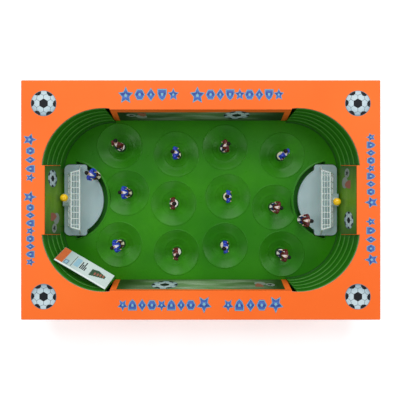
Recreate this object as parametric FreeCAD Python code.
"""Spring-player table football game: a windowed carton, a moulded pitch, two goals and fourteen figures.

Each field player stands on a coil spring in a round dish, and can be bent over and turned to aim.
Each goalkeeper rides in an arc-shaped groove on a lever, worked by a knob behind the goal.

Frame: millimetres, origin at the centre of the underside, +X towards the red goalkeeper's goal,
+Y across the pitch, +Z up. Every sub-part is written to parts/NODE.step.
"""

import FreeCAD
import Part
import os

V = FreeCAD.Vector
UP = V(0, 0, 1)
HEALING = 0.001  # tolerance for mending small edges left by a union

# ---------------------------------------------------------------- driving dimensions (mm)

# carton
CARTON_LENGTH = 540.0
CARTON_WIDTH = 360.0
CARTON_HEIGHT = 80.0
CARD = 2.0  # board thickness of the surround and the base
FLAP_CARD = 1.5  # thickness of the folded-down flaps
WINDOW_HALF_LENGTH = 234.0  # to the end flaps
WINDOW_HALF_WIDTH = 135.5  # to the long flaps
CORNER_X = 146.5  # centre of each rounded corner of the window
CORNER_Y = 45.4
WINDOW_RADIUS = 92.5
LONG_FLAP_TOP = 136.7  # half-length of a long flap at its fold and at its lower edge
LONG_FLAP_FOOT = 146.6
END_FLAP_TOP = 52.0
END_FLAP_FOOT = 59.4

# pitch moulding
PITCH_Z = 20.0  # top of the playing surface
SHEET = 1.5
PITCH_HALF_LENGTH = 265.0
PITCH_HALF_WIDTH = 175.0
DISH_RADIUS = 37.7
DISH_DEPTH = 12.0
DISH_FLOOR_RADIUS = 11.0
LEDGE_RADIUS = 20.3
LEDGE_DEPTH = 7.6
RIM_WIDTH = 1.6
RIM_RISE = 0.6
STAND_STEPS = 5
STAND_FOOT_RADIUS = 88.0
STAND_STEP_DEPTH = 1.0
STAND_FLANGE = 6.0

# goals
GOAL_X = 225.0  # distance of the keeper's pivot from the centre of the pitch
PLATE_TOP = PITCH_Z + 3.0
PLATE_THICKNESS = 2.0
PLATE_REAR = 231.0
PLATE_FRONT = 193.0
PLATE_HALF_WIDTH = 60.0
PLATE_ARC = 60.0
GROOVE_OUTER = 67.0
POCKET_FLOOR = 9.5
GOAL_HEIGHT = 28.0  # crossbar above the pitch
PIVOT_BORE_CLEARANCE = 0.08

# spring and figure
SPRING_RADIUS = 4.6
WIRE_RADIUS = 0.6
COIL_PITCH = 1.6
SOCKET_FLOOR = 3.05
SOCKET_TOP = 8.6
FIGURE_BASE_Z = 14.5  # underside of a field player's foot disc
KEEPER_BASE_Z = 23.6
LEVER_REACH = 63.6

# half of the field players: team, place and facing angle in degrees, then the team and the facing
# angle of the player at the place half a turn away about the centre of the pitch
STATION_PAIRS = (
    ("red", -138.1, 91.7, 252, "red", 172),
    ("blue", -41.4, 77.9, 0, "blue", 5),
    ("blue", -125.9, 12.2, 0, "red", 168),
    ("red", -46.2, -5.8, 180, "blue", 0),
    ("blue", -138.8, -75.9, 17, "blue", -50),
    ("red", -41.1, -89.5, 180, "red", 195),
)
KEEPER_ANGLES = {"left": 40.0, "right": 211.5}  # directions of the levers, degrees from +X
KEEPER_FACINGS = {"left": -28.0, "right": 180.0}


# ---------------------------------------------------------------- helpers


def box(x0, x1, y0, y1, z0, z1):
    return Part.makeBox(x1 - x0, y1 - y0, z1 - z0, V(x0, y0, z0))


def slab(half_x, half_y, z0, z1):
    return box(-half_x, half_x, -half_y, half_y, z0, z1)


def cylinder(radius, z0, z1, x=0.0, y=0.0):
    return Part.makeCylinder(radius, z1 - z0, V(x, y, z0), UP)


def rod(start, end, radius, end_radius=None):
    """A round bar between two points, tapered if it has an end radius."""
    start = V(*start)
    along = V(*end) - start
    if end_radius is None or end_radius == radius:
        return Part.makeCylinder(radius, along.Length, start, along)
    return Part.makeCone(radius, end_radius, along.Length, start, along)


def ball(centre, radius):
    return Part.makeSphere(radius, V(*centre))


def ellipsoid(centre, rx, ry, rz):
    stretch = FreeCAD.Matrix()
    stretch.scale(V(rx, ry, rz))
    shape = Part.makeSphere(1.0).transformGeometry(stretch)
    shape.translate(V(*centre))
    return shape


def fuse(shapes):
    whole = shapes[0].multiFuse(shapes[1:]).removeSplitter()
    if not whole.isValid():
        whole.fix(HEALING, HEALING, HEALING)
    return whole


def prism(points, direction):
    """The solid swept by a flat polygon along a vector."""
    corners = [V(*p) for p in points]
    return Part.Face(Part.makePolygon(corners + corners[:1])).extrude(V(*direction))


def turned(profile, centre=(0.0, 0.0), degrees=360.0, start=0.0):
    """A closed outline of (radius, z) points turned about a vertical axis."""
    corners = [V(r, 0, z) for r, z in profile]
    face = Part.Face(Part.makePolygon(corners + corners[:1]))
    shape = face.revolve(V(0, 0, 0), UP, degrees)
    shape.rotate(V(0, 0, 0), UP, start)
    shape.translate(V(centre[0], centre[1], 0))
    return shape


def rounded_box(x0, x1, y0, y1, z0, z1, rear_radius, front_radius):
    """A box with rounded upright corners: rear ones at x0 and front ones at x1."""
    solid = box(x0, x1, y0, y1, z0, z1)

    def uprights(x):
        return [
            e
            for e in solid.Edges
            if abs(e.Vertexes[0].X - x) < 1e-6
            and abs(e.Vertexes[1].X - x) < 1e-6
            and abs(e.Vertexes[0].Z - e.Vertexes[1].Z) > 1e-6
        ]

    solid = solid.makeFillet(rear_radius, uprights(x0))
    return solid.makeFillet(front_radius, uprights(x1))


def half_turn(shape):
    """A copy of a left-hand part carried to the right-hand end of the pitch."""
    copy = shape.copy()
    copy.rotate(V(0, 0, 0), UP, 180)
    return copy


def save(name, shape):
    solids = shape.Solids
    whole = solids[0] if len(solids) == 1 else Part.makeCompound(solids)
    if not whole.isValid():
        raise ValueError(name + " is not a valid solid")
    whole.exportStep("parts/" + name + ".step")


def stations():
    """Every field player's (team, number, x, y, facing angle)."""
    places = [(team, x, y, facing) for team, x, y, facing, _, _ in STATION_PAIRS]
    places += [(team, -x, -y, facing) for _, x, y, _, team, facing in STATION_PAIRS]
    count = {"red": 0, "blue": 0}
    out = []
    for team, x, y, facing in places:
        count[team] += 1
        out.append((team, count[team], x, y, facing))
    return out


# ---------------------------------------------------------------- carton


def flap_outlines():
    """The trapezoids of a long flap (x, z) and of an end flap (y, z), as half-lengths at fold and foot."""
    foot = PITCH_Z + 0.3
    return (
        (LONG_FLAP_TOP, LONG_FLAP_FOOT, foot),
        (END_FLAP_TOP, END_FLAP_FOOT, foot),
    )


def long_flap(side, grow, y0, y1):
    """The long flap's trapezoid between two distances from the centre line, enlarged by grow."""
    top, foot, z0 = flap_outlines()[0]
    low = z0 - grow
    y = side * y0
    points = (
        (-top - grow, y, CARTON_HEIGHT),
        (top + grow, y, CARTON_HEIGHT),
        (foot + grow, y, low),
        (-foot - grow, y, low),
    )
    return prism(points, (0, side * (y1 - y0), 0))


def end_flap(side, grow, x0, x1):
    """The end flap's trapezoid between two distances from the centre, enlarged by grow."""
    top, foot, z0 = flap_outlines()[1]
    low = z0 - grow
    x = side * x0
    points = (
        (x, -top - grow, CARTON_HEIGHT),
        (x, top + grow, CARTON_HEIGHT),
        (x, foot + grow, low),
        (x, -foot - grow, low),
    )
    return prism(points, (side * (x1 - x0), 0, 0))


def window():
    """The opening in the top panel: straight between the flaps, and round at the four corners."""
    z0 = CARTON_HEIGHT - CARD - 1.0
    z1 = CARTON_HEIGHT + 1.0
    pieces = [
        slab(LONG_FLAP_TOP, WINDOW_HALF_WIDTH, z0, z1),
        slab(WINDOW_HALF_LENGTH, END_FLAP_TOP, z0, z1),
    ]
    for sx in (-1, 1):
        for sy in (-1, 1):
            disc = cylinder(WINDOW_RADIUS, z0, z1, sx * CORNER_X, sy * CORNER_Y)
            xs = sorted((sx * LONG_FLAP_TOP, sx * CARTON_LENGTH))
            ys = sorted((sy * END_FLAP_TOP, sy * CARTON_WIDTH))
            pieces.append(disc.common(box(xs[0], xs[1], ys[0], ys[1], z0, z1)))
    return fuse(pieces)


def outer_carton():
    """The printed surround: top panel, four walls, and four flaps folded down to the pitch."""
    half_x = CARTON_LENGTH / 2
    half_y = CARTON_WIDTH / 2
    shell = slab(half_x, half_y, 0, CARTON_HEIGHT)
    shell = shell.cut(slab(half_x - CARD, half_y - CARD, -1, CARTON_HEIGHT - CARD))
    pieces = [shell.cut(window())]
    for side in (-1, 1):
        y0 = WINDOW_HALF_WIDTH
        x0 = WINDOW_HALF_LENGTH
        pieces.append(long_flap(side, 0, y0, y0 + FLAP_CARD))
        pieces.append(end_flap(side, 0, x0, x0 + FLAP_CARD))
    return fuse(pieces)


BASE_GAP = 0.3  # between the base's walls and the surround
BASE_WALL = 60.0


def carton_base():
    """The tray that closes the carton from below."""
    half_x = CARTON_LENGTH / 2 - CARD - BASE_GAP
    half_y = CARTON_WIDTH / 2 - CARD - BASE_GAP
    tray = slab(half_x, half_y, 0, BASE_WALL)
    return tray.cut(slab(half_x - CARD, half_y - CARD, CARD, BASE_WALL + 1))


RISER_INNER_X = 240.0
RISER_INNER_Y = 143.0
RISER_TOP = PITCH_Z - SHEET - 0.05


def pitch_riser():
    """A folded card frame, open below, with one rib across: it carries the pitch moulding."""
    z0 = CARD + 0.05
    outer = slab(PITCH_HALF_LENGTH - 0.5, PITCH_HALF_WIDTH - 0.5, z0, RISER_TOP)
    ring = outer.cut(slab(RISER_INNER_X, RISER_INNER_Y, z0 - 1, RISER_TOP + 1))
    hollow = slab(
        PITCH_HALF_LENGTH - 0.5 - FLAP_CARD,
        PITCH_HALF_WIDTH - 0.5 - FLAP_CARD,
        z0 - 1,
        RISER_TOP - FLAP_CARD,
    )
    core = slab(
        RISER_INNER_X + FLAP_CARD, RISER_INNER_Y + FLAP_CARD, z0 - 2, RISER_TOP + 1
    )
    ring = ring.cut(hollow.cut(core))
    rib = box(-CARD / 2, CARD / 2, -RISER_INNER_Y, RISER_INNER_Y, z0, RISER_TOP)
    return fuse([ring, rib])


# ---------------------------------------------------------------- pitch moulding


SOCKET_RADIUS = 8.0
SOCKET_HOLE = 8.1
DISH_FLOOR = PITCH_Z - DISH_DEPTH


def dish(x, y):
    """A round dish with a raised rim, a shallow cone, a ledge and a flat floor with a hole."""
    surface = (
        (DISH_RADIUS + RIM_WIDTH, PITCH_Z),
        (DISH_RADIUS + RIM_WIDTH * 0.75, PITCH_Z + RIM_RISE),
        (DISH_RADIUS + RIM_WIDTH * 0.25, PITCH_Z + RIM_RISE),
        (DISH_RADIUS - 0.8, PITCH_Z - 0.4),
        (LEDGE_RADIUS + 0.7, PITCH_Z - LEDGE_DEPTH + 0.4),
        (LEDGE_RADIUS - 0.7, PITCH_Z - LEDGE_DEPTH - 0.4),
        (DISH_FLOOR_RADIUS, DISH_FLOOR),
        (SOCKET_HOLE, DISH_FLOOR),
    )
    under = tuple((r, z - SHEET) for r, z in reversed(surface))
    return turned(surface + under, (x, y))


def corner_stand(sx, sy):
    """A curved corner wall with narrow steps and a flange under the carton's top panel."""
    height = (CARTON_HEIGHT - CARD - 0.2 - PITCH_Z) / STAND_STEPS
    inner = [(STAND_FOOT_RADIUS, PITCH_Z - SHEET)]
    outer = [(STAND_FOOT_RADIUS + SHEET, PITCH_Z - SHEET)]
    for step in range(STAND_STEPS):
        r = STAND_FOOT_RADIUS + step * STAND_STEP_DEPTH
        top = PITCH_Z + (step + 1) * height
        reach = STAND_FLANGE if step == STAND_STEPS - 1 else STAND_STEP_DEPTH
        inner += [(r, top), (r + reach, top)]
        outer += [(r + SHEET, top - SHEET), (r + reach + SHEET, top - SHEET)]
    last = outer.pop()
    outer.append((last[0] - SHEET, last[1]))
    profile = inner + outer[::-1]
    start = {(1, 1): -2, (-1, 1): 88, (-1, -1): 178, (1, -1): 268}[(sx, sy)]
    return turned(profile, (sx * CORNER_X, sy * CORNER_Y), 94.0, start)


def goal_outline(z0, z1, grow, radius):
    """The left-hand goal's outline: a rounded rectangle joined to a round front about the pivot."""
    rear = rounded_box(
        -PLATE_REAR - grow,
        -PLATE_FRONT + grow,
        -PLATE_HALF_WIDTH - grow,
        PLATE_HALF_WIDTH + grow,
        z0,
        z1,
        9.0 + grow,
        4.0 + grow,
    )
    front = cylinder(radius, z0, z1, -GOAL_X, 0)
    limit = box(-PLATE_FRONT - 20, 0, -100, 100, z0 - 1, z1 + 1)
    return fuse([rear, front.common(limit)])


POCKET_GAP = 1.2
BEAD_FOOT = PITCH_Z - 6.0  # the groove's outer wall goes on down into the nearest dish


def goal_pocket():
    """The sunk pocket of the moulding that holds the left-hand goal plate and its lever."""
    outer = goal_outline(
        POCKET_FLOOR - SHEET, PITCH_Z, POCKET_GAP + SHEET, GROOVE_OUTER + SHEET
    )
    inner = goal_outline(POCKET_FLOOR, PITCH_Z + 1, POCKET_GAP, GROOVE_OUTER)
    bead = (
        (GROOVE_OUTER, BEAD_FOOT),
        (GROOVE_OUTER, PITCH_Z + 0.9),
        (GROOVE_OUTER + 1.5, PITCH_Z + 0.9),
        (GROOVE_OUTER + 3.5, PITCH_Z + 0.2),
        (GROOVE_OUTER + 3.5, BEAD_FOOT),
    )
    return fuse([outer.cut(inner), turned(bead, (-GOAL_X, 0), 116.0, -58.0)])


PLATE_SCREWS = ((-224.0, -50.0), (-224.0, 50.0), (-199.0, -53.0), (-199.0, 53.0))
SCREW_RADIUS = 1.2
PIVOT_RADIUS = 2.0


def pitch_moulding():
    """The one-piece moulded pitch with its dishes, corner stands and goal pockets."""
    sheet = slab(PITCH_HALF_LENGTH, PITCH_HALF_WIDTH, PITCH_Z - SHEET, PITCH_Z)
    opening = goal_outline(
        PITCH_Z - 5, PITCH_Z + 5, POCKET_GAP + SHEET / 2, GROOVE_OUTER + SHEET / 2
    )
    holes = [opening, half_turn(opening)]
    holes += [
        cylinder(DISH_RADIUS, PITCH_Z - 5, PITCH_Z + 5, x, y)
        for _, _, x, y, _ in stations()
    ]
    sheet = sheet.cut(holes)
    pocket = goal_pocket()
    pocket = pocket.cut(cylinder(PIVOT_RADIUS + 0.1, 0, POCKET_FLOOR + 1, -GOAL_X, 0))
    pocket = pocket.cut(
        [
            cylinder(SCREW_RADIUS + 0.1, 0, POCKET_FLOOR + 1, x, y)
            for x, y in PLATE_SCREWS
        ]
    )
    stands = [corner_stand(sx, sy) for sx in (-1, 1) for sy in (-1, 1)]
    clearances = [long_flap(s, 0.5, 120.0, 160.0) for s in (-1, 1)]
    clearances += [end_flap(s, 0.5, 222.0, 260.0) for s in (-1, 1)]
    stands = [s.cut(clearances) for s in stands]
    dishes = fuse([sheet] + [dish(x, y) for _, _, x, y, _ in stations()])
    groove = cylinder(GROOVE_OUTER + 1.0, 0, PITCH_Z + 5, -GOAL_X, 0)
    dishes = dishes.cut([groove, half_turn(groove)])
    return fuse([dishes, pocket, half_turn(pocket)] + stands)


# ---------------------------------------------------------------- goals


HOUSING = (-PLATE_REAR, -219.4, -10.5, 10.5, PLATE_TOP - 0.5, PLATE_TOP + 7.0)
HUB_RADIUS = 4.5
BOSS_RADIUS = 3.5


def goal_plate():
    """The pale goal plate: a raised front rim, four screw bosses below, and the lever housing."""
    under = PLATE_TOP - PLATE_THICKNESS
    plate = goal_outline(under, PLATE_TOP, 0, PLATE_ARC)
    rim = (
        (PLATE_ARC - 1.6, under),
        (PLATE_ARC - 1.6, PLATE_TOP + 0.5),
        (PLATE_ARC, PLATE_TOP + 0.5),
        (PLATE_ARC, PLATE_TOP - PLATE_THICKNESS - 1.5),
        (PLATE_ARC - 1.6, PLATE_TOP - PLATE_THICKNESS - 1.5),
    )
    pieces = [plate, turned(rim, (-GOAL_X, 0), 112.0, -56.0)]
    housing = box(*HOUSING)
    top_edges = [
        e
        for e in housing.Edges
        if all(abs(v.Z - HOUSING[5]) < 1e-6 for v in e.Vertexes)
    ]
    pieces.append(housing.makeFillet(1.2, top_edges))
    pieces += [cylinder(BOSS_RADIUS, POCKET_FLOOR, under, x, y) for x, y in PLATE_SCREWS]
    shape = fuse(pieces)
    holes = [
        cylinder(SCREW_RADIUS + 0.05, POCKET_FLOOR - 1, under - 1, x, y)
        for x, y in PLATE_SCREWS
    ]
    holes.append(
        cylinder(HUB_RADIUS + PIVOT_BORE_CLEARANCE, under - 1, HOUSING[5] + 1, -GOAL_X)
    )
    return shape.cut(holes)


CROSSBAR_X = 195.0
CROSSBAR_HALF = 47.5
POST_FOOT_X = 204.0
POST_FOOT_HALF = 56.5
REAR_BAR_X = 208.5
REAR_HALF = 44.0
FOOT_RAIL_X = 223.5
BAR_RADIUS = 1.3
RUNG_RADIUS = 0.7
NET_WIRE_RADIUS = 0.45
RUNG_SPACING = 10.0
RUNGS = 9


def goal_net():
    """The white goal: splayed posts, crossbar, roof, sloping back, foot rail and a net of rungs."""
    z_top = PITCH_Z + GOAL_HEIGHT
    z_foot = PLATE_TOP
    pieces = []
    for side in (-1, 1):
        front = (-CROSSBAR_X, side * CROSSBAR_HALF, z_top)
        rear = (-REAR_BAR_X, side * REAR_HALF, z_top)
        toe = (-FOOT_RAIL_X, side * REAR_HALF, z_foot + BAR_RADIUS)
        foot = (-POST_FOOT_X, side * POST_FOOT_HALF, z_foot)
        pieces += [
            rod(front, rear, BAR_RADIUS),
            rod(rear, toe, BAR_RADIUS * 0.8),
            rod(front, foot, BAR_RADIUS, BAR_RADIUS * 1.2),
            ball(front, BAR_RADIUS),
            ball(rear, BAR_RADIUS),
            ball(toe, BAR_RADIUS),
        ]
    for x, half, z, radius in (
        (-CROSSBAR_X, CROSSBAR_HALF, z_top, BAR_RADIUS),
        (-REAR_BAR_X, REAR_HALF, z_top, BAR_RADIUS * 0.9),
        (-FOOT_RAIL_X, REAR_HALF, z_foot + BAR_RADIUS, BAR_RADIUS * 0.8),
    ):
        pieces.append(rod((x, -half, z), (x, half, z), radius))
    for i in range(RUNGS):
        y = (i - (RUNGS - 1) / 2) * RUNG_SPACING
        front = (-CROSSBAR_X, y, z_top)
        rear = (-REAR_BAR_X, y, z_top)
        toe = (-FOOT_RAIL_X, y, z_foot + BAR_RADIUS)
        pieces += [
            rod(front, rear, RUNG_RADIUS),
            rod(rear, toe, RUNG_RADIUS),
            ball(rear, RUNG_RADIUS),
        ]
    for part_way in (0.33, 0.67):
        x = -CROSSBAR_X + part_way * (CROSSBAR_X - REAR_BAR_X)
        half = CROSSBAR_HALF + part_way * (REAR_HALF - CROSSBAR_HALF)
        pieces.append(rod((x, -half, z_top), (x, half, z_top), NET_WIRE_RADIUS))
        x = -REAR_BAR_X + part_way * (REAR_BAR_X - FOOT_RAIL_X)
        z = z_top + part_way * (z_foot + BAR_RADIUS - z_top)
        pieces.append(rod((x, -REAR_HALF, z), (x, REAR_HALF, z), NET_WIRE_RADIUS))
    shape = fuse(pieces)
    x0, x1, y0, y1, _, z1 = HOUSING
    room_for_housing = box(x0 - 0.3, x1 + 0.3, y0 - 0.3, y1 + 0.3, 0, z1 + 0.3)
    below_plate = box(-260, -150, -80, 80, 0, PLATE_TOP)
    return shape.cut([room_for_housing, below_plate])


def goal_plate_screws():
    """Eight identical screws, driven up through the pocket floors into the plates' bosses."""
    screws = []
    floor = POCKET_FLOOR - SHEET
    for x, y in PLATE_SCREWS:
        shank = cylinder(SCREW_RADIUS, floor - 0.5, floor + 9.0, x, y)
        head = Part.makeCone(1.7, 2.6, 1.6, V(x, y, floor - 1.7), UP)
        screws.append(fuse([shank, head]))
    screws += [half_turn(s) for s in screws]
    return Part.makeCompound(screws)


PIVOT_TOP = 22.0
LEVER_BOTTOM = POCKET_FLOOR + 0.2
LEVER_THICKNESS = 3.0
HUB_TOP = HOUSING[5] + 1.0
KNOB_RADIUS = 6.0
KNOB_OFFSET = 5.5
KNOB_Z = PITCH_Z + 26.0
PEG_RADIUS = 1.8


def lever_pivot_screws():
    """Two identical shouldered pivot screws, one under each lever hub."""
    floor = POCKET_FLOOR - SHEET
    shank = cylinder(PIVOT_RADIUS, floor - 0.5, PIVOT_TOP, -GOAL_X, 0)
    head = cylinder(4.0, floor - 2.4, floor - 0.05, -GOAL_X, 0)
    screw = fuse([shank, head])
    return Part.makeCompound([screw, half_turn(screw)])


def goalie_lever():
    """A lever with its pivot at the origin and its peg on +X: arm, hub, cranked stem and peg."""
    z0 = LEVER_BOTTOM
    z1 = LEVER_BOTTOM + LEVER_THICKNESS
    arm = box(0, LEVER_REACH, -3.2, 3.2, z0, z1)
    pieces = [
        arm,
        cylinder(6.5, z0, z1),
        cylinder(3.2, z0, z1, LEVER_REACH),
        cylinder(HUB_RADIUS, z0, HUB_TOP),
        rod((0, 0, HUB_TOP - 2.0), (KNOB_OFFSET, 0, KNOB_Z), 2.0),
        cylinder(PEG_RADIUS, z0, KEEPER_BASE_Z + 2.0, LEVER_REACH),
    ]
    bore = cylinder(PIVOT_RADIUS + PIVOT_BORE_CLEARANCE, z0 - 1, PIVOT_TOP + 0.5)
    return fuse(pieces).cut(bore)


def lever_knob(lever):
    """The round knob on the stem's end, bored to take the stem."""
    knob = ball((KNOB_OFFSET, 0, KNOB_Z), KNOB_RADIUS)
    collar = rod((KNOB_OFFSET * 0.62, 0, KNOB_Z - 6.6), (KNOB_OFFSET, 0, KNOB_Z), 3.0)
    return fuse([knob, collar]).cut(lever)


# ---------------------------------------------------------------- springs and figures


def spring_socket(x, y):
    """A cup through the dish's floor: the spring turns in it."""
    shell = fuse(
        [
            cylinder(SOCKET_RADIUS, CARD + 0.05, SOCKET_TOP),
            cylinder(12.5, DISH_FLOOR - SHEET - 2.1, DISH_FLOOR - SHEET - 0.1),
        ]
    )
    shell = shell.cut(cylinder(SPRING_RADIUS + WIRE_RADIUS + 0.4, SOCKET_FLOOR, SOCKET_TOP + 1))
    shell.translate(V(x, y, 0))
    return shell


def spring_sockets():
    return Part.makeCompound([spring_socket(x, y) for _, _, x, y, _ in stations()])


def coil_spring():
    """A round-wire coil spring standing on the socket's floor, with its axis on the origin's."""
    bottom = SOCKET_FLOOR + 0.05 + WIRE_RADIUS
    top = FIGURE_BASE_Z - 0.1 - WIRE_RADIUS
    helix = Part.makeHelix(COIL_PITCH, top - bottom, SPRING_RADIUS)
    start = V(SPRING_RADIUS, 0, 0)
    ring = Part.Wire(Part.makeCircle(WIRE_RADIUS, start, V(0, 1, COIL_PITCH / 29.0)))
    sweep = Part.BRepOffsetAPI.MakePipeShell(helix)
    sweep.setFrenetMode(True)
    sweep.add(ring)
    sweep.build()
    sweep.makeSolid()
    spring = sweep.shape()
    spring.translate(V(0, 0, bottom))
    return spring


FOOT_DISC_RADIUS = 7.2
FOOT_DISC_THICKNESS = 2.4
PEG_LENGTH = 4.0  # of the stub that holds a field player's spring


def ellipse_wire(rx, ry, z, x):
    """A level ellipse with its longer half-axis across the figure."""
    curve = Part.Ellipse(V(x, 0, z), ry, rx)
    curve.rotate(FreeCAD.Placement(V(0, 0, 0), FreeCAD.Rotation(UP, 90), V(x, 0, z)))
    return Part.Wire(curve.toShape())


def figure(peg):
    """A footballer 37 mm tall, facing +X and leaning back, on a round foot disc whose underside is z = 0."""
    sections = (
        (3.2, 4.7, 15.0, 1.9),
        (3.0, 4.6, 18.5, 1.1),
        (3.6, 5.8, 22.5, -0.1),
        (3.7, 6.7, 26.0, -1.3),
        (2.4, 4.3, 28.4, -2.2),
    )
    pieces = [
        cylinder(FOOT_DISC_RADIUS, 0, FOOT_DISC_THICKNESS),
        Part.makeLoft([ellipse_wire(*s) for s in sections], True, False),
        rod((-2.1, 0, 27.5), (-2.9, 0, 30.6), 1.9),
        ellipsoid((-2.9, 0, 32.7), 3.6, 3.3, 4.3),
    ]
    for side in (-1, 1):
        hip = (2.0, side * 2.6, 15.6)
        hem = (2.9, side * 3.3, 10.4)
        knee = (3.2, side * 3.3, 9.0)
        ankle = (2.2, side * 3.5, 3.6)
        toe = (3.6, side * 3.6, 3.4)
        shoulder = (-1.5, side * 6.3, 26.3)
        elbow = (-2.6, side * 9.5, 20.8)
        hand = (3.4, side * 8.6, 18.0)
        pieces += [
            rod(hip, hem, 3.3, 3.6),
            rod(hip, knee, 2.8, 2.1),
            rod(knee, ankle, 2.1, 1.7),
            ball(knee, 2.1),
            ellipsoid(toe, 3.9, 1.9, 1.8),
            ball(shoulder, 2.3),
            rod(shoulder, elbow, 2.2, 1.7),
            ball(elbow, 1.75),
            rod(elbow, hand, 1.65, 1.2),
            ball(hand, 1.6),
        ]
    shape = fuse(pieces)
    return fuse([shape, peg]) if peg else shape


def placed(shape, x, y, z, degrees):
    copy = shape.copy()
    copy.rotate(V(0, 0, 0), UP, degrees)
    copy.translate(V(x, y, z))
    return copy


# ---------------------------------------------------------------- leaflet


LEAFLET = (90.0, 27.0, 2.4)
LEAFLET_TILT = 48.0
LEAFLET_LEAN = -30.3  # direction of its long edge, degrees from +X
LEAFLET_CORNER = (-223.6, -90.3, 74.0)  # upper outer edge, at the end nearer the goal


def leaflet():
    """A folded paper leaflet wedged across a corner: three panels folded flat over one another."""
    length, width, thick = LEAFLET
    fold = thick / 3
    layers = [box(0, length, 0, width, i * fold, i * fold + fold * 0.82) for i in range(3)]
    layers.append(box(0, length, width - 0.7, width, 0, fold + 0.1))
    layers.append(box(0, length, 0, 0.7, fold, 2 * fold + 0.1))
    shape = fuse(layers)
    shape.translate(V(0, 0, -thick))
    shape.rotate(V(0, 0, 0), V(1, 0, 0), -LEAFLET_TILT)
    return placed(shape, *LEAFLET_CORNER, LEAFLET_LEAN)


# ---------------------------------------------------------------- write the parts


def main():
    os.makedirs("parts", exist_ok=True)
    save("outer_carton", outer_carton())
    save("carton_base", carton_base())
    save("pitch_riser", pitch_riser())
    save("pitch_moulding", pitch_moulding())
    save("spring_sockets", spring_sockets())
    save("goal_plate_screws", goal_plate_screws())
    save("lever_pivot_screws", lever_pivot_screws())
    save("leaflet", leaflet())

    plate = goal_plate()
    net = goal_net()
    save("goal_plate_left", plate)
    save("goal_net_left", net)
    save("goal_plate_right", half_turn(plate))
    save("goal_net_right", half_turn(net))

    lever = goalie_lever()
    knob = lever_knob(lever)
    for end, pivot_x in (("left", -GOAL_X), ("right", GOAL_X)):
        angle = KEEPER_ANGLES[end]
        turn_on_peg = KEEPER_FACINGS[end] - angle
        keeper = placed(figure(None), LEVER_REACH, 0, KEEPER_BASE_Z, turn_on_peg).cut(lever)
        save("goalie_lever_" + end, placed(lever, pivot_x, 0, 0, angle))
        save("lever_knob_" + end, placed(knob, pivot_x, 0, 0, angle))
        save("goalie_" + end, placed(keeper, pivot_x, 0, 0, angle))

    peg = cylinder(SPRING_RADIUS - WIRE_RADIUS - 0.25, -PEG_LENGTH, 0.5)
    player = figure(peg)
    spring = coil_spring()
    for team, number, x, y, facing in stations():
        save("spring_%s_%d" % (team, number), placed(spring, x, y, 0, facing))
        save(
            "player_%s_%d" % (team, number),
            placed(player, x, y, FIGURE_BASE_Z, facing),
        )


main()
